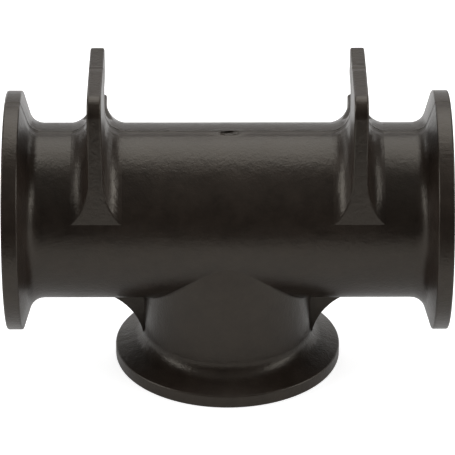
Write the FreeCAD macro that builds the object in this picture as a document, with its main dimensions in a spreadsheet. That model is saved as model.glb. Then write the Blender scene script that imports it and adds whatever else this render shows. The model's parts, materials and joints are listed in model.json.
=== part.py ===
"""Manifold flange tee: a moulded plastic tee with three clamp flanges and two mounting lugs.

The body is drawn about the point where the run's axis (X) crosses the branch's axis (Z).
Its Placement then lifts it, so that the branch's flange face lies on z = 0 of the part's
frame, the run lies level above it and the lugs point up.
"""

import FreeCAD, Part
import math
import os

import Sketcher
from FreeCAD import Vector

NODE = "manifold_tee"

# Driving dimensions: alias, value in mm or degrees, what it sizes
SIZES = [
    ("run_length", 162.1, "run, from flange face to flange face"),
    ("run_bore", 50.8, "bore of the run, the nominal two inches"),
    ("run_wall", 6.9, "wall of the run's tube"),
    ("run_flange_diameter", 88.2, "outside of the run's flanges"),
    ("branch_reach", 60.2, "branch flange face below the run's axis"),
    ("branch_bore", 48.5, "bore of the branch"),
    ("branch_wall", 6.9, "wall of the branch's tube"),
    ("branch_flange_diameter", 84.0, "outside of the branch's flange"),
    ("run_rim", 5.7, "thickness of the run's flanges at their straight rims"),
    ("branch_rim", 4.9, "thickness of the branch's flange at its straight rim"),
    ("clamp_angle", 18.0, "slope of the back of each flange, which the clamp pulls on"),
    ("neck_fillet", 5.6, "hollow between a flange's back and its tube"),
    ("rim_round", 0.7, "rounding of each flange's rim"),
    ("bore_round", 0.6, "rounding of each bore's mouth"),
    ("seal_groove_inner", 55.0, "inner diameter of the gasket groove in each flange face"),
    ("seal_groove_width", 4.0, "width of the gasket groove"),
    ("seal_groove_depth", 1.6, "depth of the gasket groove"),
    ("lug_spacing", 94.9, "between the middles of the two lugs"),
    ("lug_thickness", 5.7, "lug at the tube"),
    ("lug_draft", 0.5, "taper of each face of a lug"),
    ("lug_width", 61.6, "lug from front edge to back edge"),
    ("lug_height", 58.2, "top of the lugs above the run's axis"),
    ("lug_corner", 6.7, "front top corner of a lug"),
    ("lug_fillet", 8.0, "flare of a lug into the tube"),
    ("lug_edge_round", 0.8, "rounding of a lug's outline"),
    ("hook_reach", 18.2, "back of the hook behind the run's axis"),
    ("hook_corner", 2.5, "back corners of the hook and of the slot's floor"),
    ("slot_front", 3.0, "front wall of the hook's slot behind the run's axis"),
    ("slot_rise", 1.0, "floor of the slot above the top of the run"),
    ("hook_thickness", 11.6, "hook above the slot"),
    ("slot_corner", 5.5, "rounding inside the slot"),
    ("web_thickness", 5.5, "webs beside the branch"),
    ("web_arc", 22.2, "hollow edge of each web"),
    ("tee_fillet", 1.2, "hollow where the run meets the branch"),
    ("gate_length", 6.0, "mark of the mould's gate, along the top of the run"),
    ("gate_breadth", 2.2, "gate's mark, forward from the mould's parting plane"),
    ("gate_depth", 0.6, "depth of the gate's mark at its middle"),
]

# How far a piece reaches into the wall that it grows from, so that they meet as one solid
ROOT = "(0.5 * Sizes.run_wall)"
# How far the lugs' flare dips under the tube's surface, so that it ends on a clean edge
DIP = "0.12"

RUN_RADIUS = "(Sizes.run_bore / 2 + Sizes.run_wall)"
BRANCH_RADIUS = "(Sizes.branch_bore / 2 + Sizes.branch_wall)"
HALF_RUN = "(Sizes.run_length / 2)"
RUN_FLANGE_RADIUS = "(Sizes.run_flange_diameter / 2)"
BRANCH_FLANGE_RADIUS = "(Sizes.branch_flange_diameter / 2)"
HALF_LUG = "(Sizes.lug_width / 2)"

RUN_NECK = (
    f"({HALF_RUN} - Sizes.run_rim"
    f" - ({RUN_FLANGE_RADIUS} - {RUN_RADIUS}) * tan(Sizes.clamp_angle))"
)
BRANCH_NECK = (
    "(Sizes.branch_reach - Sizes.branch_rim"
    f" - ({BRANCH_FLANGE_RADIUS} - {BRANCH_RADIUS}) * tan(Sizes.clamp_angle))"
)
SLOT_FLOOR = f"({RUN_RADIUS} + Sizes.slot_rise)"
SLOT_CEILING = "(Sizes.lug_height - Sizes.hook_thickness)"
SLOT_ROUND = f"min(Sizes.slot_corner; 0.45 * ({SLOT_CEILING} - {SLOT_FLOOR}))"
CORE_RADIUS = f"({RUN_RADIUS} - {DIP})"
# The web's hollow ends above the straight rim of the branch's flange
WEB_ARC = f"min(Sizes.web_arc; Sizes.branch_reach - {RUN_RADIUS} - Sizes.branch_rim)"
SEAL_INNER = "(Sizes.seal_groove_inner / 2)"
SEAL_OUTER = f"({SEAL_INNER} + Sizes.seal_groove_width)"

NEAR = 1e-3


def write_sizes(doc):
    """Puts each driving dimension in a cell of the sheet, under its own name."""
    sheet = doc.addObject("Spreadsheet::Sheet", "Sizes")
    for row, (alias, value, note) in enumerate(SIZES, start=1):
        sheet.set(f"A{row}", alias)
        sheet.set(f"B{row}", str(value))
        sheet.set(f"C{row}", note)
        sheet.setAlias(f"B{row}", alias)
    doc.recompute()


def value(sketch, expression):
    return float(sketch.evalExpression(expression))


def origin_part(body, role):
    for feature in body.Origin.OriginFeatures:
        if feature.Role == role:
            return feature
    raise ValueError(role)


def new_sketch(body, name, role):
    sketch = body.newObject("Sketcher::SketchObject", name)
    sketch.AttachmentSupport = (origin_part(body, role), [""])
    sketch.MapMode = "FlatFace"
    return sketch


def bind(sketch, constraint, expression):
    index = sketch.addConstraint(constraint)
    sketch.setExpression(f"Constraints[{index}]", expression)


def pin(sketch, kind, geometry, end, expression):
    """Holds a point at a signed distance from the sketch's origin, along X or along Y."""
    distance = value(sketch, expression)
    bind(sketch, Sketcher.Constraint(kind, -1, 1, geometry, end, distance), expression)


def draw_circle(sketch, x, y, radius):
    middle = Vector(value(sketch, x), value(sketch, y), 0)
    size = value(sketch, radius)
    circle = sketch.addGeometry(Part.Circle(middle, Vector(0, 0, 1), size))
    pin(sketch, "DistanceX", circle, 3, x)
    pin(sketch, "DistanceY", circle, 3, y)
    bind(sketch, Sketcher.Constraint("Radius", circle, size), radius)


def draw_outline(sketch, corners):
    """Draws a closed outline, whose corners are (x, y) or, when rounded, (x, y, radius).

    Each is an expression of the sheet. A rounded corner keeps a construction point where its
    two sides would meet.
    """
    spots = [Vector(value(sketch, c[0]), value(sketch, c[1]), 0) for c in corners]
    radii = [value(sketch, c[2]) if len(c) == 3 else 0.0 for c in corners]
    arrivals, middles, departures = [], [], []
    for i, spot in enumerate(spots):
        back = (spots[i - 1] - spot).normalize()
        ahead = (spots[(i + 1) % len(spots)] - spot).normalize()
        half = back.getAngle(ahead) / 2
        inward = (back + ahead).normalize() if radii[i] else Vector()
        arrivals.append(spot + back * (radii[i] / math.tan(half)))
        middles.append(spot + inward * (radii[i] / math.sin(half) - radii[i]))
        departures.append(spot + ahead * (radii[i] / math.tan(half)))

    sides = []
    for i in range(len(corners)):
        side = Part.LineSegment(departures[i], arrivals[(i + 1) % len(corners)])
        sides.append(sketch.addGeometry(side))

    for i, corner in enumerate(corners):
        before, after = sides[i - 1], sides[i]
        if radii[i]:
            point = sketch.addGeometry(Part.Point(spots[i]), True)
            arc = sketch.addGeometry(Part.Arc(arrivals[i], middles[i], departures[i]))
            first = 1 if sketch.getPoint(arc, 1).distanceToPoint(arrivals[i]) < NEAR else 2
            for side in (before, after):
                sketch.addConstraint(Sketcher.Constraint("PointOnObject", point, 1, side))
            sketch.addConstraint(Sketcher.Constraint("Tangent", before, 2, arc, first))
            sketch.addConstraint(Sketcher.Constraint("Tangent", after, 1, arc, 3 - first))
            bind(sketch, Sketcher.Constraint("Radius", arc, radii[i]), corner[2])
        else:
            point = after
            sketch.addConstraint(Sketcher.Constraint("Coincident", before, 2, after, 1))
        pin(sketch, "DistanceX", point, 1, corner[0])
        pin(sketch, "DistanceY", point, 1, corner[1])


def revolve(body, kind, name, sketch, axis):
    feature = body.newObject(f"PartDesign::{kind}", name)
    feature.Profile = sketch
    feature.ReferenceAxis = (origin_part(body, axis), [""])
    feature.Angle = 360
    body.Document.recompute()
    return feature


def extrude(body, kind, name, sketch, length, side="Symmetric", reverse=False):
    feature = body.newObject(f"PartDesign::{kind}", name)
    feature.Profile = sketch
    feature.SideType = side
    feature.Reversed = reverse
    feature.setExpression("Length", length)
    body.Document.recompute()
    return feature


def round_edges(body, name, radius, wanted):
    """Rounds every edge of the body so far for which wanted(edge, its faces) is true."""
    base = body.Tip
    shape = base.Shape
    names = []
    for number, edge in enumerate(shape.Edges, start=1):
        faces = shape.ancestorsOfType(edge, Part.Face)
        if wanted(edge, faces):
            names.append(f"Edge{number}")
    if not names:
        raise RuntimeError(f"{name}: no edge to round")
    feature = body.newObject("PartDesign::Fillet", name)
    feature.Base = (base, names)
    feature.setExpression("Radius", radius)
    body.Document.recompute()
    return feature


def ring_test(sketch, axis, radius, station=None):
    """Tells the circles about an axis that have this radius, at this distance along it."""
    size = value(sketch, radius)
    place = None if station is None else value(sketch, station)

    def wanted(edge, faces):
        curve = edge.Curve
        if not isinstance(curve, Part.Circle) or abs(curve.Radius - size) > NEAR:
            return False
        if abs(abs(curve.Axis.dot(axis)) - 1) > NEAR:
            return False
        return place is None or abs(abs(curve.Center.dot(axis)) - place) < NEAR

    return wanted


def add_lugs(body):
    """The two lugs, turned as discs on a core inside the tube and trimmed to their outline."""
    disc = f"(1.3 * ({HALF_LUG} + Sizes.lug_height))"
    inner = "(Sizes.lug_spacing / 2 - Sizes.lug_thickness / 2)"
    outer = "(Sizes.lug_spacing / 2 + Sizes.lug_thickness / 2)"
    thinned = f"(({disc} - {CORE_RADIUS}) * tan(Sizes.lug_draft))"
    core_end = f"({outer} + 1.5 * Sizes.lug_fillet)"
    half = [
        (core_end, "0"),
        (core_end, f"-{CORE_RADIUS}"),
        (outer, f"-{CORE_RADIUS}", "Sizes.lug_fillet"),
        (f"{outer} - {thinned}", f"-{disc}"),
        (f"{inner} + {thinned}", f"-{disc}"),
        (inner, f"-{CORE_RADIUS}", "Sizes.lug_fillet"),
    ]
    other_half = [(f"-({x})", *rest) for x, *rest in reversed(half)]
    profile = new_sketch(body, "LugProfile", "XZ_Plane")
    draw_outline(profile, half + other_half)
    revolve(body, "Revolution", "LugDiscs", profile, "X_Axis")

    outline = new_sketch(body, "LugOutline", "YZ_Plane")
    reach = f"(1.1 * {disc})"
    draw_outline(outline, [
        (f"-{reach}", f"-{reach}"),
        (reach, f"-{reach}"),
        (reach, reach),
        (f"-{reach}", reach),
    ])
    draw_outline(outline, [
        (f"-{HALF_LUG}", "0"),
        (HALF_LUG, "0"),
        (HALF_LUG, SLOT_FLOOR, "Sizes.hook_corner"),
        ("Sizes.slot_front", SLOT_FLOOR, SLOT_ROUND),
        ("Sizes.slot_front", SLOT_CEILING, SLOT_ROUND),
        ("Sizes.hook_reach", SLOT_CEILING, "Sizes.hook_corner"),
        ("Sizes.hook_reach", "Sizes.lug_height", "Sizes.hook_corner"),
        (f"-{HALF_LUG}", "Sizes.lug_height", "Sizes.lug_corner"),
    ])
    extrude(body, "Pocket", "LugTrim", outline, "2.2 * Sizes.lug_spacing")

    core = value(profile, CORE_RADIUS)

    def on_outline(edge, faces):
        flank = any(isinstance(face.Surface, (Part.Cone, Part.Toroid)) for face in faces)
        wall = any(isinstance(face.Surface, Part.Plane) for face in faces)
        corner = any(
            isinstance(face.Surface, Part.Cylinder) and abs(face.Surface.Radius - core) > NEAR
            for face in faces
        )
        return flank and (wall or corner)

    round_edges(body, "LugEdges", "Sizes.lug_edge_round", on_outline)


def add_barrel(body):
    """The run: a tube with a clamp flange at each end, solid until its bore is cut."""
    half = [
        (HALF_RUN, "0"),
        (HALF_RUN, RUN_FLANGE_RADIUS),
        (f"{HALF_RUN} - Sizes.run_rim", RUN_FLANGE_RADIUS),
        (RUN_NECK, RUN_RADIUS),
    ]
    other_half = [(f"-({x})", radius) for x, radius in reversed(half)]
    profile = new_sketch(body, "RunProfile", "XY_Plane")
    draw_outline(profile, half + other_half)
    revolve(body, "Revolution", "Run", profile, "X_Axis")

    along = Vector(1, 0, 0)
    neck = ring_test(profile, along, RUN_RADIUS, RUN_NECK)
    round_edges(body, "RunNecks", "Sizes.neck_fillet", neck)
    rim = ring_test(profile, along, RUN_FLANGE_RADIUS)
    round_edges(body, "RunRims", "Sizes.rim_round", rim)


def add_branch(body):
    """The branch: a slightly smaller tube down to its own clamp flange."""
    profile = new_sketch(body, "BranchProfile", "YZ_Plane")
    draw_outline(profile, [
        ("0", "0"),
        ("0", "-Sizes.branch_reach"),
        (BRANCH_FLANGE_RADIUS, "-Sizes.branch_reach"),
        (BRANCH_FLANGE_RADIUS, "-(Sizes.branch_reach - Sizes.branch_rim)"),
        (BRANCH_RADIUS, f"-{BRANCH_NECK}"),
        (BRANCH_RADIUS, "0"),
    ])
    revolve(body, "Revolution", "Branch", profile, "Z_Axis")

    along = Vector(0, 0, 1)
    neck = ring_test(profile, along, BRANCH_RADIUS, BRANCH_NECK)
    round_edges(body, "BranchNeck", "Sizes.neck_fillet", neck)
    rim = ring_test(profile, along, BRANCH_FLANGE_RADIUS)
    round_edges(body, "BranchRim", "Sizes.rim_round", rim)


def add_webs(body):
    """A thin web in each corner between the run and the branch, with a hollow edge."""
    for name, side in (("Right", ""), ("Left", "-")):
        sketch = new_sketch(body, f"{name}WebOutline", "XZ_Plane")
        draw_web(sketch, side)
        extrude(body, "Pad", f"{name}Web", sketch, "Sizes.web_thickness")


def draw_web(sketch, side):
    """A corner filled up to a hollow arc that leaves both tubes without a step."""
    middle = (f"{side}({BRANCH_RADIUS} + {WEB_ARC})", f"-({RUN_RADIUS} + {WEB_ARC})")
    in_branch = f"{side}({BRANCH_RADIUS} - {ROOT})"
    in_run = f"-({RUN_RADIUS} - {ROOT})"
    corners = [
        (f"{side}{BRANCH_RADIUS}", middle[1]),
        (in_branch, middle[1]),
        (in_branch, in_run),
        (middle[0], in_run),
        (middle[0], f"-{RUN_RADIUS}"),
    ]
    spots = [Vector(value(sketch, x), value(sketch, y), 0) for x, y in corners]
    for number in range(len(corners) - 1):
        sketch.addGeometry(Part.LineSegment(spots[number], spots[number + 1]))
        pin(sketch, "DistanceX", number, 1, corners[number][0])
        pin(sketch, "DistanceY", number, 1, corners[number][1])
        if number:
            sketch.addConstraint(Sketcher.Constraint("Coincident", number - 1, 2, number, 1))
    last = len(corners) - 2
    pin(sketch, "DistanceX", last, 2, corners[-1][0])
    pin(sketch, "DistanceY", last, 2, corners[-1][1])

    centre = Vector(value(sketch, middle[0]), value(sketch, middle[1]), 0)
    size = value(sketch, WEB_ARC)
    towards_corner = Vector(-1 if not side else 1, 1, 0).normalize() * size
    arc = sketch.addGeometry(Part.Arc(spots[-1], centre + towards_corner, spots[0]))
    first = 1 if sketch.getPoint(arc, 1).distanceToPoint(spots[-1]) < NEAR else 2
    sketch.addConstraint(Sketcher.Constraint("Coincident", last, 2, arc, first))
    sketch.addConstraint(Sketcher.Constraint("Coincident", 0, 1, arc, 3 - first))
    bind(sketch, Sketcher.Constraint("Radius", arc, size), WEB_ARC)


def is_tube(face, radius, axis):
    surface = face.Surface
    if not isinstance(surface, Part.Cylinder) or abs(surface.Radius - radius) > NEAR:
        return False
    return abs(abs(surface.Axis.dot(axis)) - 1) < NEAR


def round_the_tee(body):
    """The small hollow along the curves where the branch leaves the run."""
    sketch = body.Document.getObject("BranchProfile")
    run, branch = value(sketch, RUN_RADIUS), value(sketch, BRANCH_RADIUS)

    def crossing(edge, faces):
        meets_run = any(is_tube(face, run, Vector(1, 0, 0)) for face in faces)
        meets_branch = any(is_tube(face, branch, Vector(0, 0, 1)) for face in faces)
        return meets_run and meets_branch

    round_edges(body, "TeeHollow", "Sizes.tee_fillet", crossing)


def cut_bores(body):
    """The two bores, which open into each other, with rounded mouths."""
    circle = new_sketch(body, "RunBoreCircle", "YZ_Plane")
    draw_circle(circle, "0", "0", "Sizes.run_bore / 2")
    extrude(body, "Pocket", "RunBore", circle, "1.1 * Sizes.run_length")
    circle = new_sketch(body, "BranchBoreCircle", "XY_Plane")
    draw_circle(circle, "0", "0", "Sizes.branch_bore / 2")
    extrude(body, "Pocket", "BranchBore", circle, "1.1 * Sizes.branch_reach", "One side")

    mouth = ring_test(circle, Vector(1, 0, 0), "Sizes.run_bore / 2", HALF_RUN)
    round_edges(body, "RunMouths", "Sizes.bore_round", mouth)
    mouth = ring_test(circle, Vector(0, 0, 1), "Sizes.branch_bore / 2", "Sizes.branch_reach")
    round_edges(body, "BranchMouth", "Sizes.bore_round", mouth)


def cut_seal_grooves(body):
    """A shallow groove for the gasket in each flange face."""
    floor = f"({HALF_RUN} - Sizes.seal_groove_depth)"
    clear = f"({HALF_RUN} + Sizes.seal_groove_depth)"
    profile = new_sketch(body, "RunSealProfile", "XZ_Plane")
    for side in ("", "-"):
        draw_outline(profile, [
            (side + floor, SEAL_INNER),
            (side + clear, SEAL_INNER),
            (side + clear, SEAL_OUTER),
            (side + floor, SEAL_OUTER),
        ])
    revolve(body, "Groove", "RunSealGrooves", profile, "X_Axis")

    floor = "-(Sizes.branch_reach - Sizes.seal_groove_depth)"
    clear = "-(Sizes.branch_reach + Sizes.seal_groove_depth)"
    profile = new_sketch(body, "BranchSealProfile", "XZ_Plane")
    draw_outline(profile, [
        (SEAL_INNER, floor),
        (SEAL_INNER, clear),
        (SEAL_OUTER, clear),
        (SEAL_OUTER, floor),
    ])
    revolve(body, "Groove", "BranchSealGroove", profile, "Z_Axis")


def cut_gate_mark(body):
    """The hollow mark that the mould's gate leaves in front of the parting plane."""
    apex = f"({RUN_RADIUS} - 1.35 * Sizes.gate_depth)"
    clear = f"({RUN_RADIUS} + Sizes.gate_depth)"
    profile = new_sketch(body, "GateProfile", "XZ_Plane")
    draw_outline(profile, [
        ("-0.87 * Sizes.gate_length", clear),
        ("0", apex, "Sizes.gate_length"),
        ("0.87 * Sizes.gate_length", clear),
    ])
    extrude(body, "Pocket", "GateMark", profile, "Sizes.gate_breadth", "One side", reverse=True)


def build_tee(doc):
    body = doc.addObject("PartDesign::Body", "ManifoldTee")
    body.Label = NODE
    body.setExpression(".Placement.Base.z", "Sizes.branch_reach")
    doc.recompute()
    for step in (
        add_lugs,
        add_barrel,
        add_branch,
        add_webs,
        round_the_tee,
        cut_bores,
        cut_seal_grooves,
        cut_gate_mark,
    ):
        before = body.Shape.Volume if body.Tip else 0.0
        step(body)
        change = body.Shape.Volume - before
        print(f"{step.__name__}: volume changes by {change:.1f}")
        if step.__name__.startswith("cut") and change >= 0:
            raise RuntimeError(f"{step.__name__} cut nothing")
    return body


def check(doc, body):
    for item in doc.Objects:
        if "Invalid" in item.State or "Error" in item.State:
            raise RuntimeError(f"{item.Name}: {item.State}")
    shape = body.Shape
    if shape.isNull() or not shape.isValid() or len(shape.Solids) != 1:
        raise RuntimeError(f"{body.Label} is not one valid solid")


def main():
    doc = FreeCAD.newDocument("ManifoldFlangeTee")
    write_sizes(doc)
    body = build_tee(doc)
    doc.recompute()
    check(doc, body)
    os.makedirs("parts", exist_ok=True)
    body.Shape.exportStep(f"parts/{body.Label}.step")
    box = body.Shape.optimalBoundingBox(False, False)
    print(f"{body.Label}: {box.XLength:.2f} x {box.YLength:.2f} x {box.ZLength:.2f}, from z {box.ZMin:.2f}")


main()
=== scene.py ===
import json
import math

import bpy
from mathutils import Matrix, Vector


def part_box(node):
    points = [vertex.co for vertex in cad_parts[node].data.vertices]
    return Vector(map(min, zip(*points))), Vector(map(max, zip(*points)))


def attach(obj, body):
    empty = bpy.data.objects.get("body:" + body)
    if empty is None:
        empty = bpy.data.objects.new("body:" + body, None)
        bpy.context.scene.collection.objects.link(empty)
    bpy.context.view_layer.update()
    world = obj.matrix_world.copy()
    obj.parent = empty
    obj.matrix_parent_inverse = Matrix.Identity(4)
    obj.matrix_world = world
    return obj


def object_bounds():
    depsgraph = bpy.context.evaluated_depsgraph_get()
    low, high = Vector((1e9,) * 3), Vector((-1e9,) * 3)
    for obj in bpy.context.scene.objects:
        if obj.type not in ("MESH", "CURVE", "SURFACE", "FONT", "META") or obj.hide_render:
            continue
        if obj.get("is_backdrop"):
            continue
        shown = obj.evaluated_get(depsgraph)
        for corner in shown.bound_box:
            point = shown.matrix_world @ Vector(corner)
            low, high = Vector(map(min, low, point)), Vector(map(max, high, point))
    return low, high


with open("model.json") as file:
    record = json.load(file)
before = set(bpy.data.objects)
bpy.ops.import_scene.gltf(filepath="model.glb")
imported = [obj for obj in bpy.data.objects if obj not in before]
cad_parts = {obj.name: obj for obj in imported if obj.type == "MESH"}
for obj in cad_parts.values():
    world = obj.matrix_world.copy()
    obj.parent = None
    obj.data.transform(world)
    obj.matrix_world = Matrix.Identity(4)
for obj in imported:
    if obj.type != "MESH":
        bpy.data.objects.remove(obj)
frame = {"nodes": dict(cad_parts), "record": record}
CAD_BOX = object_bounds()

bl_info = {
    "name": "Manifold flange tee",
    "version": (1, 0, 0),
    "blender": (4, 5, 0),
    "location": "3D View > Sidebar > Tee",
    "description": "Finishes a moulded manifold tee and sets it on a pale studio floor",
    "category": "Object",
}

TEE = "manifold_tee"

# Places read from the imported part, in metres
TEE_LOW, TEE_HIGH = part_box(TEE)
MOUNTS = {mount["name"]: mount for mount in frame["record"]["mounts"]}
RUN_AXIS_HEIGHT = MOUNTS["run_bore"]["pos_m"][2]
RUN_BORE_RADIUS = MOUNTS["run_bore"]["dims"]["r_mm"] / 1000
BRANCH_BORE_RADIUS = MOUNTS["branch_bore"]["dims"]["r_mm"] / 1000
FLANGE_FACE_X = TEE_HIGH.x

# Half the gate mark's length along the run, with a little to spare
GATE_REACH = 0.0032
# How far outside a bore's wall the mould's marks have faded in
MARK_FADE = 0.002


class TeeFinishSettings(bpy.types.PropertyGroup):
    """The moulded plastic and the marks that its mould leaves."""

    plastic_colour: bpy.props.FloatVectorProperty(
        name="Plastic colour",
        description="Colour of the black moulded plastic",
        subtype="COLOR",
        size=3,
        min=0.0,
        max=1.0,
        default=(0.0178, 0.0124, 0.0094),
    )
    bloom_colour: bpy.props.FloatVectorProperty(
        name="Bloom colour",
        description="Slightly paler colour where glass fibre lies near the surface",
        subtype="COLOR",
        size=3,
        min=0.0,
        max=1.0,
        default=(0.0330, 0.0240, 0.0185),
    )
    sheen_colour: bpy.props.FloatVectorProperty(
        name="Sheen colour",
        description="Warm cast of the skin's reflections",
        subtype="COLOR",
        size=3,
        min=0.0,
        max=1.0,
        default=(1.0, 0.93, 0.81),
    )
    roughness: bpy.props.FloatProperty(
        name="Roughness",
        description="Roughness of the moulded skin",
        subtype="FACTOR",
        min=0.0,
        max=1.0,
        default=0.31,
    )
    grain_size: bpy.props.FloatProperty(
        name="Grain size",
        description="Width of one grain of the skin",
        subtype="DISTANCE",
        unit="LENGTH",
        default=0.0008,
    )
    grain_depth: bpy.props.FloatProperty(
        name="Grain depth",
        description="Height of the grain",
        subtype="DISTANCE",
        unit="LENGTH",
        default=0.00009,
    )
    line_width: bpy.props.FloatProperty(
        name="Parting line width",
        description="Width of the raised line where the halves of the mould met",
        subtype="DISTANCE",
        unit="LENGTH",
        default=0.0004,
    )
    line_height: bpy.props.FloatProperty(
        name="Parting line height",
        description="Height of that line above the skin",
        subtype="DISTANCE",
        unit="LENGTH",
        default=0.00005,
    )
    witness_width: bpy.props.FloatProperty(
        name="Witness width",
        description="Half the width of the shallow hollow in front of the parting line",
        subtype="DISTANCE",
        unit="LENGTH",
        default=0.0020,
    )
    stub_length: bpy.props.FloatProperty(
        name="Gate stub length",
        description="Length of the torn stub of plastic in the gate mark",
        subtype="DISTANCE",
        unit="LENGTH",
        default=0.0017,
    )
    stub_height: bpy.props.FloatProperty(
        name="Gate stub height",
        description="Height of the stub above the gate mark's floor",
        subtype="DISTANCE",
        unit="LENGTH",
        default=0.0005,
    )
    lip_height: bpy.props.FloatProperty(
        name="Gate lip height",
        description="Height of the torn edge round the gate mark above the skin",
        subtype="DISTANCE",
        unit="LENGTH",
        default=0.00018,
    )


class StageSettings(bpy.types.PropertyGroup):
    """Camera, lamps and floor."""

    camera_distance: bpy.props.FloatProperty(
        name="Camera distance",
        description="From the camera to the point that it looks at",
        subtype="DISTANCE",
        unit="LENGTH",
        default=1.250,
    )
    camera_elevation: bpy.props.FloatProperty(
        name="Camera elevation",
        description="Angle of the camera above the horizon",
        subtype="ANGLE",
        unit="ROTATION",
        default=math.radians(27.65),
    )
    camera_azimuth: bpy.props.FloatProperty(
        name="Camera azimuth",
        description="Turn of the camera about the tee, towards its left",
        subtype="ANGLE",
        unit="ROTATION",
        default=math.radians(-0.18),
    )
    look_drop: bpy.props.FloatProperty(
        name="Aim below the run",
        description="How far below the run's axis the camera looks",
        subtype="DISTANCE",
        unit="LENGTH",
        default=0.00743,
    )
    lens: bpy.props.FloatProperty(
        name="Lens",
        description="Focal length of the camera, in millimetres",
        subtype="DISTANCE_CAMERA",
        unit="CAMERA",
        default=267.3,
    )
    floor_colour: bpy.props.FloatVectorProperty(
        name="Floor colour",
        description="Colour of the studio floor",
        subtype="COLOR",
        size=3,
        min=0.0,
        max=1.0,
        default=(0.72, 0.72, 0.72),
    )
    top_radiance: bpy.props.FloatProperty(
        name="Top lamp",
        description="Brightness of the large lamp above and behind",
        default=2.2,
    )
    side_radiance: bpy.props.FloatProperty(
        name="Side lamps",
        description="Brightness of the square lamps at left and right",
        default=4.2,
    )
    floor_glow: bpy.props.FloatProperty(
        name="Floor in the picture",
        description="Brightness that the picture adds to the floor's own, under its shadow",
        default=0.82,
    )
    floor_reflection: bpy.props.FloatProperty(
        name="Floor in reflections",
        description="Brightness that glossy surfaces add to the floor's own",
        default=0.28,
    )
    rear_floor_reflection: bpy.props.FloatProperty(
        name="Rear floor in reflections",
        description="Brightness that glossy surfaces add to the floor well behind the tee",
        default=0.7,
    )
    backdrop_reflection: bpy.props.FloatProperty(
        name="Backdrop in reflections",
        description="Brightness of the pale backdrop behind, as glossy surfaces show it",
        default=1.85,
    )
    ceiling_reflection: bpy.props.FloatProperty(
        name="Ceiling in reflections",
        description="Brightness of the ceiling above the camera, as glossy surfaces show it",
        default=0.18,
    )
    room_reflection: bpy.props.FloatProperty(
        name="Room in reflections",
        description="Brightness of the dim room all round, as glossy surfaces show it",
        default=0.06,
    )


def deselect_all():
    if bpy.context.object and bpy.context.object.mode != "OBJECT":
        bpy.ops.object.mode_set(mode="OBJECT")
    bpy.ops.object.select_all(action="DESELECT")


def make_active(piece):
    deselect_all()
    piece.select_set(True)
    bpy.context.view_layer.objects.active = piece


def select_faces(piece, wanted):
    """Leaves the piece in edit mode with only the faces selected for which wanted is true."""
    make_active(piece)
    bpy.ops.object.mode_set(mode="EDIT")
    bpy.ops.mesh.select_mode(type="FACE")
    bpy.ops.mesh.select_all(action="DESELECT")
    bpy.ops.object.mode_set(mode="OBJECT")
    for face in piece.data.polygons:
        face.select = wanted(face)
    bpy.ops.object.mode_set(mode="EDIT")


def settle(piece):
    """Puts a finished piece's place into its mesh."""
    make_active(piece)
    bpy.ops.object.transform_apply(location=True, rotation=True, scale=True)


class Nodes:
    """Adds and wires the nodes of one material, or of the world."""

    def __init__(self, owner):
        self.owner = owner
        owner.use_nodes = True
        self.tree = owner.node_tree
        self.tree.nodes.clear()
        self.column = 0

    def add(self, kind, **values):
        node = self.tree.nodes.new(kind)
        node.location = (self.column, 0)
        self.column += 200
        for key, value in values.items():
            setattr(node, key, value)
        return node

    def link(self, source, target):
        self.tree.links.new(source, target)


def noise(nodes, coordinates, size, detail, roughness=0.5):
    """A noise whose features are about this size, in metres."""
    node = nodes.add("ShaderNodeTexNoise")
    node.inputs["Scale"].default_value = 1 / size
    node.inputs["Detail"].default_value = detail
    node.inputs["Roughness"].default_value = roughness
    nodes.link(coordinates, node.inputs["Vector"])
    return node.outputs["Fac"]


def spread(nodes, source, low, high, from_low=0.3, from_high=0.7):
    """Maps the middle of a noise's range on to low and high."""
    node = nodes.add("ShaderNodeMapRange")
    node.inputs["From Min"].default_value = from_low
    node.inputs["From Max"].default_value = from_high
    node.inputs["To Min"].default_value = low
    node.inputs["To Max"].default_value = high
    nodes.link(source, node.inputs["Value"])
    return node.outputs["Result"]


def bump(nodes, height, depth, strength, before=None):
    node = nodes.add("ShaderNodeBump")
    node.inputs["Strength"].default_value = strength
    node.inputs["Distance"].default_value = depth
    nodes.link(height, node.inputs["Height"])
    if before:
        nodes.link(before, node.inputs["Normal"])
    return node.outputs["Normal"]


def arithmetic(nodes, operation, first, second):
    """One sum on two values, each of them a socket or a number."""
    node = nodes.add("ShaderNodeMath", operation=operation)
    for value, target in zip((first, second), node.inputs):
        if isinstance(value, bpy.types.NodeSocket):
            nodes.link(value, target)
        else:
            target.default_value = value
    return node.outputs[0]


def size_of(nodes, value):
    node = nodes.add("ShaderNodeMath", operation="ABSOLUTE")
    nodes.link(value, node.inputs[0])
    return node.outputs[0]


def ramp(nodes, value, start, end):
    """Rises from 0 at start to 1 at end, or falls where end is the lower."""
    node = nodes.add("ShaderNodeMapRange", interpolation_type="SMOOTHSTEP")
    nodes.link(value, node.inputs["Value"])
    if start < end:
        node.inputs["From Min"].default_value = start
        node.inputs["From Max"].default_value = end
        return node.outputs["Result"]
    node.inputs["From Min"].default_value = end
    node.inputs["From Max"].default_value = start
    node.inputs["To Min"].default_value = 1
    node.inputs["To Max"].default_value = 0
    return node.outputs["Result"]


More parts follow.
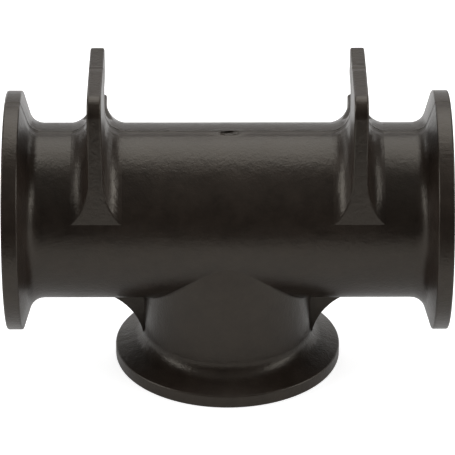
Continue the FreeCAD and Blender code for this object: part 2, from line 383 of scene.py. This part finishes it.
def moulded_plastic(settings, name, extra_roughness=0.0, marks=None):
    """Black glass-filled plastic: fine grain, slow sink marks, fibre bloom and dull patches."""
    nodes = Nodes(bpy.data.materials.new(name))
    output = nodes.add("ShaderNodeOutputMaterial")
    skin = nodes.add("ShaderNodeBsdfPrincipled")
    place = nodes.add("ShaderNodeTexCoord").outputs["Object"]
    bloom_size, patch_size, sink_size, flow_size = 0.006, 0.012, 0.014, 0.0024
    sink_depth, flow_depth = 0.0004, 0.00013
    smoother, duller = 0.03, 0.05

    bloom = spread(nodes, noise(nodes, place, bloom_size, 6, 0.65), 0, 1)
    colour = nodes.add("ShaderNodeMix", data_type="RGBA")
    colour.inputs["A"].default_value = (*settings.plastic_colour, 1)
    colour.inputs["B"].default_value = (*settings.bloom_colour, 1)
    nodes.link(bloom, colour.inputs["Factor"])
    nodes.link(colour.outputs["Result"], skin.inputs["Base Color"])

    patches = noise(nodes, place, patch_size, 4, 0.6)
    usual = settings.roughness + extra_roughness
    dullness = spread(nodes, patches, usual - smoother, usual + duller)
    nodes.link(dullness, skin.inputs["Roughness"])

    sinks = bump(nodes, noise(nodes, place, sink_size, 2), sink_depth, 0.25)
    flow = bump(nodes, noise(nodes, place, flow_size, 3, 0.6), flow_depth, 1, sinks)
    grain = noise(nodes, place, settings.grain_size, 3, 0.6)
    skin_normal = bump(nodes, grain, settings.grain_depth, 1, flow)
    if marks:
        skin_normal = marks(nodes, place, settings, skin_normal)
    nodes.link(skin_normal, skin.inputs["Normal"])

    skin.inputs["IOR"].default_value = 1.49
    skin.inputs["Specular Tint"].default_value = (*settings.sheen_colour, 1)
    nodes.link(skin.outputs["BSDF"], output.inputs["Surface"])
    return nodes.owner


def mould_marks(nodes, place, settings, normal):
    """The shallow hollow along the parting line, and the scuffed skin round the gate."""
    axes = nodes.add("ShaderNodeSeparateXYZ")
    nodes.link(place, axes.inputs[0])
    along, depth, height = axes.outputs
    from_axis = arithmetic(nodes, "SUBTRACT", height, RUN_AXIS_HEIGHT)
    marked = marked_skin(nodes, along, height, from_axis)

    hollow_depth = 0.00012
    from_hollow = size_of(nodes, arithmetic(nodes, "ADD", depth, settings.witness_width))
    hollow = spread(nodes, from_hollow, -1, 0, 0, settings.witness_width)
    hollow = arithmetic(nodes, "MULTIPLY", hollow, marked)
    normal = bump(nodes, hollow, hollow_depth, 1, normal)
    ridge = ramp(nodes, size_of(nodes, depth), settings.line_width, 0)
    ridge = arithmetic(nodes, "MULTIPLY", ridge, marked)
    normal = bump(nodes, ridge, settings.line_height, 1, normal)

    scratch_size, scratch_depth = 0.0012, 0.0005
    scuff = arithmetic(
        nodes, "MULTIPLY", gate_scuff(nodes, along, depth), above_run_bore(nodes, from_axis),
    )
    scratches = noise(nodes, place, scratch_size, 3, 0.6)
    scratched = arithmetic(nodes, "MULTIPLY", scuff, scratches)
    return bump(nodes, scratched, scratch_depth, 1, normal)


def above_run_bore(nodes, from_axis):
    """Rises from 0 at the wall of the run's bore to 1 a little outside it."""
    return ramp(nodes, from_axis, RUN_BORE_RADIUS, RUN_BORE_RADIUS + MARK_FADE)


def marked_skin(nodes, along, height, from_axis):
    """1 on the outside, 0 in the bores and at the flange faces, faint on the branch's flange."""
    off_run_bore = above_run_bore(nodes, size_of(nodes, from_axis))
    off_branch_bore = ramp(
        nodes, size_of(nodes, along), BRANCH_BORE_RADIUS, BRANCH_BORE_RADIUS + MARK_FADE,
    )
    upper_half = ramp(nodes, from_axis, -MARK_FADE, MARK_FADE)
    outside = arithmetic(nodes, "MAXIMUM", upper_half, off_branch_bore)
    outside = arithmetic(nodes, "MULTIPLY", off_run_bore, outside)

    face_margin = 0.0004
    off_face = ramp(
        nodes, size_of(nodes, along), FLANGE_FACE_X - face_margin, FLANGE_FACE_X - 2 * face_margin,
    )
    outside = arithmetic(nodes, "MULTIPLY", outside, off_face)

    faint, flange_top, clear_of_flange = 0.3, 0.009, 0.012
    off_flange = spread(nodes, height, faint, 1, flange_top, clear_of_flange)
    return arithmetic(nodes, "MULTIPLY", outside, off_flange)


def gate_scuff(nodes, along, depth):
    """An oval patch round the gate mark, 1 in its middle and 0 at its edge."""
    middle_forward, narrowing = 0.0011, 2.4
    core, reach = 0.004, 0.0085
    across = arithmetic(nodes, "ADD", depth, middle_forward)
    across = arithmetic(nodes, "MULTIPLY", across, narrowing)
    across = arithmetic(nodes, "POWER", size_of(nodes, across), 2)
    along = arithmetic(nodes, "POWER", size_of(nodes, along), 2)
    from_gate = arithmetic(nodes, "POWER", arithmetic(nodes, "ADD", along, across), 0.5)
    return ramp(nodes, from_gate, reach, core)


def wear(piece, material):
    """Gives a piece its only material."""
    piece.data.materials.clear()
    piece.data.materials.append(material)


class TEE_OT_finish_body(bpy.types.Operator):
    """Gives the tee its moulded black plastic"""

    bl_idname = "tee.finish_body"
    bl_label = "Finish the tee"

    def execute(self, context):
        settings = context.scene.tee_finish
        material = moulded_plastic(settings, "moulded_black_plastic", marks=mould_marks)
        node = frame["nodes"][TEE]
        for slot in node.material_slots:
            slot.material = material
        return {"FINISHED"}


class TEE_OT_add_parting_line(bpy.types.Operator):
    """Adds the fine raised line round the outside, where the halves of the mould met"""

    bl_idname = "tee.add_parting_line"
    bl_label = "Add the parting line"

    def execute(self, context):
        settings = context.scene.tee_finish
        half_width = settings.line_width / 2
        line = copy_of_node("parting_line")
        for side in (1, -1):
            cut_away(line, Vector((0, side * half_width, 0)), Vector((0, side, 0)))

        def unmarked(face):
            on_core = inside_bores(face) or on_flange_face(face)
            return on_core or on_lug_top(face) or on_branch_flange(face) or in_gate_mark(face)

        select_faces(line, unmarked)
        bpy.ops.mesh.delete(type="FACE")
        bpy.ops.mesh.select_all(action="SELECT")
        bpy.ops.transform.shrink_fatten(value=-settings.line_height)
        bpy.ops.object.mode_set(mode="OBJECT")
        thicken = line.modifiers.new("Raise", "SOLIDIFY")
        thicken.thickness = 2 * settings.line_height
        thicken.offset = 1
        bpy.ops.object.modifier_apply(modifier=thicken.name)

        material = moulded_plastic(settings, "parting_line_plastic", extra_roughness=-0.04)
        wear(line, material)
        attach(line, "root")
        return {"FINISHED"}


def copy_of_node(name):
    """A separate, joined-up copy of the tee's mesh."""
    make_active(frame["nodes"][TEE])
    bpy.ops.object.duplicate()
    piece = bpy.context.object
    for key in list(piece.keys()):
        del piece[key]
    piece.parent = None
    piece.name = name
    piece.data.name = name
    bpy.ops.object.mode_set(mode="EDIT")
    bpy.ops.mesh.select_all(action="SELECT")
    bpy.ops.mesh.remove_doubles(threshold=1e-6)
    bpy.ops.object.mode_set(mode="OBJECT")
    return piece


def cut_away(piece, point, normal):
    """Cuts the piece at a plane and throws away what lies beyond it."""
    make_active(piece)
    bpy.ops.object.mode_set(mode="EDIT")
    bpy.ops.mesh.select_all(action="SELECT")
    bpy.ops.mesh.bisect(plane_co=point, plane_no=normal, clear_outer=True)
    bpy.ops.object.mode_set(mode="OBJECT")


def inside_bores(face):
    """The mould's cores shape the bores, so the line doesn't run there."""
    margin = 0.0008
    from_run = math.hypot(face.center.y, face.center.z - RUN_AXIS_HEIGHT)
    from_branch = math.hypot(face.center.x, face.center.y)
    below_run = face.center.z < RUN_AXIS_HEIGHT
    in_branch = below_run and from_branch < BRANCH_BORE_RADIUS + margin
    return in_branch or from_run < RUN_BORE_RADIUS + margin


def on_flange_face(face):
    """The flange faces and their gasket grooves, which cores shape too."""
    groove_depth, rim_facing = 0.0017, 0.9
    groove_reach = RUN_BORE_RADIUS + 0.008
    if abs(face.center.x) > FLANGE_FACE_X - groove_depth:
        from_run = math.hypot(face.center.y, face.center.z - RUN_AXIS_HEIGHT)
        if abs(face.normal.z) < rim_facing or from_run < groove_reach:
            return True
    if face.center.z < TEE_LOW.z + groove_depth:
        return abs(face.normal.x) < rim_facing or abs(face.center.x) < groove_reach
    return False


def on_lug_top(face):
    """The line would stand above the part's own height here."""
    below_top = 0.0004
    return face.center.z > TEE_HIGH.z - below_top


def on_branch_flange(face):
    """The line stops above the branch's flange and leaves its rim plain."""
    flange_height = 0.0095
    return face.center.z < TEE_LOW.z + flange_height


def over_gate_mark(point):
    """True near the gate mark and outside the run's bore."""
    near = abs(point.x) < GATE_REACH and abs(point.y) < GATE_REACH
    clear_of_bore = 0.003
    return near and point.z - RUN_AXIS_HEIGHT > RUN_BORE_RADIUS + clear_of_bore


def in_gate_mark(face):
    """The hollow in the top of the run where the gate was."""
    least_depth = 0.00008
    from_axis = face.center.z - RUN_AXIS_HEIGHT
    return over_gate_mark(face.center) and from_axis < run_radius() - least_depth


def run_radius():
    """The run's outer radius, from the highest points of its middle."""
    half_length, half_width = 0.02, 0.001
    return max(
        vertex.co.z
        for vertex in frame["nodes"][TEE].data.vertices
        if abs(vertex.co.x) < half_length and abs(vertex.co.y) < half_width
    ) - RUN_AXIS_HEIGHT


class TEE_OT_add_gate_stub(bpy.types.Operator):
    """Adds the torn stub of plastic in the gate mark, and the torn edge round it"""

    bl_idname = "tee.add_gate_stub"
    bl_label = "Add the gate stub"

    def execute(self, context):
        settings = context.scene.tee_finish
        floor, middle = gate_floor()
        sunk = 0.00005
        ring_width = settings.stub_length * 0.05
        tear = settings.stub_height * 0.35
        deselect_all()
        bpy.ops.mesh.primitive_cylinder_add(
            vertices=32,
            radius=settings.stub_length / 2,
            depth=settings.stub_height + sunk,
            location=(0, 0, floor + (settings.stub_height - sunk) / 2),
        )
        stub = bpy.context.object
        stub.name = "gate_stub"
        stub.location.x = settings.stub_length * 0.4 - GATE_REACH
        stub.location.y = middle
        settle(stub)
        select_faces(stub, lambda face: face.normal.z > 0.9)
        for _ in range(2):
            bpy.ops.mesh.inset(thickness=ring_width)
        bpy.ops.object.mode_set(mode="OBJECT")
        for vertex in stub.data.vertices:
            if vertex.co.z > floor + settings.stub_height * 0.5:
                angle = vertex.co.x / settings.stub_length * math.tau
                vertex.co.z += tear * (math.sin(3 * angle) + 0.6 * math.sin(7 * angle + 1.0) - 1)
        soften = stub.modifiers.new("Soften", "BEVEL")
        soften.width = settings.stub_height * 0.2
        soften.segments = 2
        make_active(stub)
        bpy.ops.object.modifier_apply(modifier=soften.name)
        bpy.ops.object.shade_smooth_by_angle(angle=math.radians(40))
        material = moulded_plastic(settings, "torn_plastic", extra_roughness=0.2)
        for piece in (stub, gate_lip(settings, middle)):
            wear(piece, material)
            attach(piece, "root")
        return {"FINISHED"}


def gate_lip(settings, middle):
    """The torn edge: an oval ring laid on the run's top, higher in some places than in others."""
    radius = run_radius()
    ring_thickness = 0.09
    half_length, half_breadth = GATE_REACH + 0.0003, 0.0015
    shift_along, shift_forward = 0.0007, 0.0004
    deselect_all()
    bpy.ops.mesh.primitive_torus_add(
        major_segments=72, minor_segments=12, major_radius=1, minor_radius=ring_thickness,
    )
    lip = bpy.context.object
    lip.name = "gate_lip"
    lip.scale = (half_length, half_breadth, settings.lip_height / ring_thickness)
    settle(lip)
    for vertex in lip.data.vertices:
        turn = math.atan2(vertex.co.y / half_breadth, vertex.co.x / half_length)
        ragged = 0.6 + 0.25 * math.sin(5 * turn + 0.4) + 0.15 * math.sin(11 * turn)
        vertex.co.z *= ragged
        vertex.co.x += shift_along
        vertex.co.y += middle - shift_forward
        vertex.co.z += RUN_AXIS_HEIGHT + math.sqrt(radius**2 - vertex.co.y**2)
    make_active(lip)
    bpy.ops.object.shade_smooth_by_angle(angle=math.radians(60))
    return lip


def gate_floor():
    """The height of the gate mark's floor, and the place of its middle across the run."""
    level = 0.00002
    hollow = [
        vertex.co
        for vertex in frame["nodes"][TEE].data.vertices
        if over_gate_mark(vertex.co)
    ]
    floor = min(point.z for point in hollow)
    across = [point.y for point in hollow if point.z < floor + level]
    return floor, (min(across) + max(across)) / 2


class TEE_OT_set_stage(bpy.types.Operator):
    """Sets the floor, the lamps, the background and the camera"""

    bl_idname = "tee.set_stage"
    bl_label = "Set the stage"

    def execute(self, context):
        settings = context.scene.tee_stage
        add_floor(settings)
        add_lamps(settings)
        light_the_world(settings, context.scene)
        add_camera(settings)
        context.scene.view_settings.view_transform = "Standard"
        return {"FINISHED"}


def add_floor(settings):
    """A white floor that glows in the picture and in reflections, and is clear from below."""
    front_edge, rear_edge, width = -0.24, 1.0, 6
    rear_glow_start, rear_glow_full = 0.2, 0.5
    below_tee = 0.0002
    deselect_all()
    middle = (0, (front_edge + rear_edge) / 2, TEE_LOW.z - below_tee)
    bpy.ops.mesh.primitive_plane_add(size=1, location=middle)
    floor = bpy.context.object
    floor.name = "studio_floor"
    floor.scale = (width, rear_edge - front_edge, 1)
    settle(floor)
    nodes = Nodes(bpy.data.materials.new("studio_floor_white"))
    output = nodes.add("ShaderNodeOutputMaterial")
    paint = nodes.add("ShaderNodeBsdfDiffuse")
    paint.inputs["Color"].default_value = (*settings.floor_colour, 1)
    glow = nodes.add("ShaderNodeEmission")
    place = nodes.add("ShaderNodeSeparateXYZ")
    nodes.link(nodes.add("ShaderNodeTexCoord").outputs["Object"], place.inputs[0])
    rear = ramp(nodes, place.outputs["Y"], rear_glow_start, rear_glow_full)
    rear = arithmetic(nodes, "MULTIPLY", rear, settings.rear_floor_reflection)
    reflected = arithmetic(nodes, "ADD", rear, settings.floor_reflection)
    seen = nodes.add("ShaderNodeLightPath").outputs
    mirrored = arithmetic(nodes, "ADD", seen["Is Glossy Ray"], seen["Is Transmission Ray"])
    in_gloss = arithmetic(nodes, "MULTIPLY", mirrored, reflected)
    in_picture = arithmetic(nodes, "MULTIPLY", seen["Is Camera Ray"], settings.floor_glow)
    nodes.link(arithmetic(nodes, "ADD", in_picture, in_gloss), glow.inputs["Strength"])
    both = nodes.add("ShaderNodeAddShader")
    nodes.link(paint.outputs["BSDF"], both.inputs[0])
    nodes.link(glow.outputs["Emission"], both.inputs[1])
    clear = nodes.add("ShaderNodeBsdfTransparent")
    one_sided = nodes.add("ShaderNodeMixShader")
    nodes.link(nodes.add("ShaderNodeNewGeometry").outputs["Backfacing"], one_sided.inputs[0])
    nodes.link(both.outputs["Shader"], one_sided.inputs[1])
    nodes.link(clear.outputs["BSDF"], one_sided.inputs[2])
    nodes.link(one_sided.outputs["Shader"], output.inputs["Surface"])
    wear(floor, nodes.owner)
    floor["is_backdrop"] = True


def add_area_lamp(name, place, width, height, radiance):
    """A soft rectangular lamp of this brightness as seen from the tee, aimed at the run."""
    light = bpy.data.lights.new(name, "AREA")
    light.shape = "RECTANGLE"
    light.size = width
    light.size_y = height
    light.energy = radiance * math.pi * width * height
    lamp = bpy.data.objects.new(name, light)
    bpy.context.scene.collection.objects.link(lamp)
    lamp.location = place
    aim = Vector((0, 0, RUN_AXIS_HEIGHT)) - Vector(place)
    lamp.rotation_euler = aim.to_track_quat("-Z", "Y").to_euler()


def add_lamps(settings):
    """One large lamp from overhead to behind, and one at each side, a little to the front."""
    add_area_lamp("top_lamp", (0, 0.57, 1.266), 1.25, 1.23, settings.top_radiance)
    for name, side in (("right_lamp", 1), ("left_lamp", -1)):
        add_area_lamp(name, (side * 1.18, -0.16, 0.58), 0.8, 0.8, settings.side_radiance)


def light_the_world(settings, scene):
    """White in the picture; in reflections a pale backdrop low behind, and a dim room.

    A direction's height is the sine of its angle above the horizon.
    """
    backdrop_foot, backdrop_body = 0.04, 0.2
    backdrop_fade, backdrop_top = 0.12, 0.42
    world = scene.world or bpy.data.worlds.new("studio")
    scene.world = world
    nodes = Nodes(world)
    output = nodes.add("ShaderNodeOutputWorld")
    direction = nodes.add("ShaderNodeSeparateXYZ")
    nodes.link(nodes.add("ShaderNodeTexCoord").outputs["Generated"], direction.inputs[0])
    height = direction.outputs["Z"]
    behind = spread(nodes, direction.outputs["Y"], 0, settings.backdrop_reflection, 0.2, 0.6)
    low = ramp(nodes, height, backdrop_top, backdrop_fade)
    low = arithmetic(nodes, "MULTIPLY", low, ramp(nodes, height, backdrop_foot, backdrop_body))
    ceiling = spread(nodes, height, 0, settings.ceiling_reflection, 0.35, 0.85)
    lit = arithmetic(nodes, "ADD", arithmetic(nodes, "MULTIPLY", behind, low), ceiling)
    lit = arithmetic(nodes, "ADD", lit, settings.room_reflection)
    room = nodes.add("ShaderNodeBackground")
    room.inputs["Color"].default_value = (1, 1, 1, 1)
    nodes.link(lit, room.inputs["Strength"])
    backdrop = nodes.add("ShaderNodeBackground")
    backdrop.inputs["Color"].default_value = (1, 1, 1, 1)
    seen = nodes.add("ShaderNodeLightPath")
    mix = nodes.add("ShaderNodeMixShader")
    nodes.link(seen.outputs["Is Camera Ray"], mix.inputs[0])
    nodes.link(room.outputs[0], mix.inputs[1])
    nodes.link(backdrop.outputs[0], mix.inputs[2])
    nodes.link(mix.outputs[0], output.inputs["Surface"])


def add_camera(settings):
    aim = Vector((0, 0, RUN_AXIS_HEIGHT - settings.look_drop))
    level = math.cos(settings.camera_elevation)
    back = Vector((
        math.sin(settings.camera_azimuth) * level,
        -math.cos(settings.camera_azimuth) * level,
        math.sin(settings.camera_elevation),
    ))
    data = bpy.data.cameras.new("photo_camera")
    data.lens = settings.lens
    data.sensor_width = 36
    camera = bpy.data.objects.new("photo_camera", data)
    bpy.context.scene.collection.objects.link(camera)
    camera.location = aim + back * settings.camera_distance
    camera.rotation_euler = (-back).to_track_quat("-Z", "Y").to_euler()
    bpy.context.scene.camera = camera


class TEE_PT_sidebar(bpy.types.Panel):
    """Lists the steps that finish the tee, in order"""

    bl_label = "Manifold flange tee"
    bl_idname = "TEE_PT_sidebar"
    bl_space_type = "VIEW_3D"
    bl_region_type = "UI"
    bl_category = "Tee"

    def draw(self, context):
        finish = context.scene.tee_finish
        stage = context.scene.tee_stage
        for name in finish.bl_rna.properties.keys()[2:]:
            self.layout.prop(finish, name)
        for operator in OPERATORS[:-1]:
            self.layout.operator(operator.bl_idname)
        for name in stage.bl_rna.properties.keys()[2:]:
            self.layout.prop(stage, name)
        self.layout.operator(OPERATORS[-1].bl_idname)


OPERATORS = (
    TEE_OT_finish_body,
    TEE_OT_add_parting_line,
    TEE_OT_add_gate_stub,
    TEE_OT_set_stage,
)
CLASSES = (TeeFinishSettings, StageSettings, *OPERATORS, TEE_PT_sidebar)


def register():
    for cls in CLASSES:
        bpy.utils.register_class(cls)
    bpy.types.Scene.tee_finish = bpy.props.PointerProperty(type=TeeFinishSettings)
    bpy.types.Scene.tee_stage = bpy.props.PointerProperty(type=StageSettings)


def unregister():
    del bpy.types.Scene.tee_stage
    del bpy.types.Scene.tee_finish
    for cls in reversed(CLASSES):
        bpy.utils.unregister_class(cls)


def main():
    register()
    bpy.ops.tee.finish_body()
    bpy.ops.tee.add_parting_line()
    bpy.ops.tee.add_gate_stub()
    bpy.ops.tee.set_stage()
    boxes = {"cad": CAD_BOX, "visual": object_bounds()}
    plain = {name: [list(corner) for corner in box] for name, box in boxes.items()}


if __name__ == "__main__":
    main()
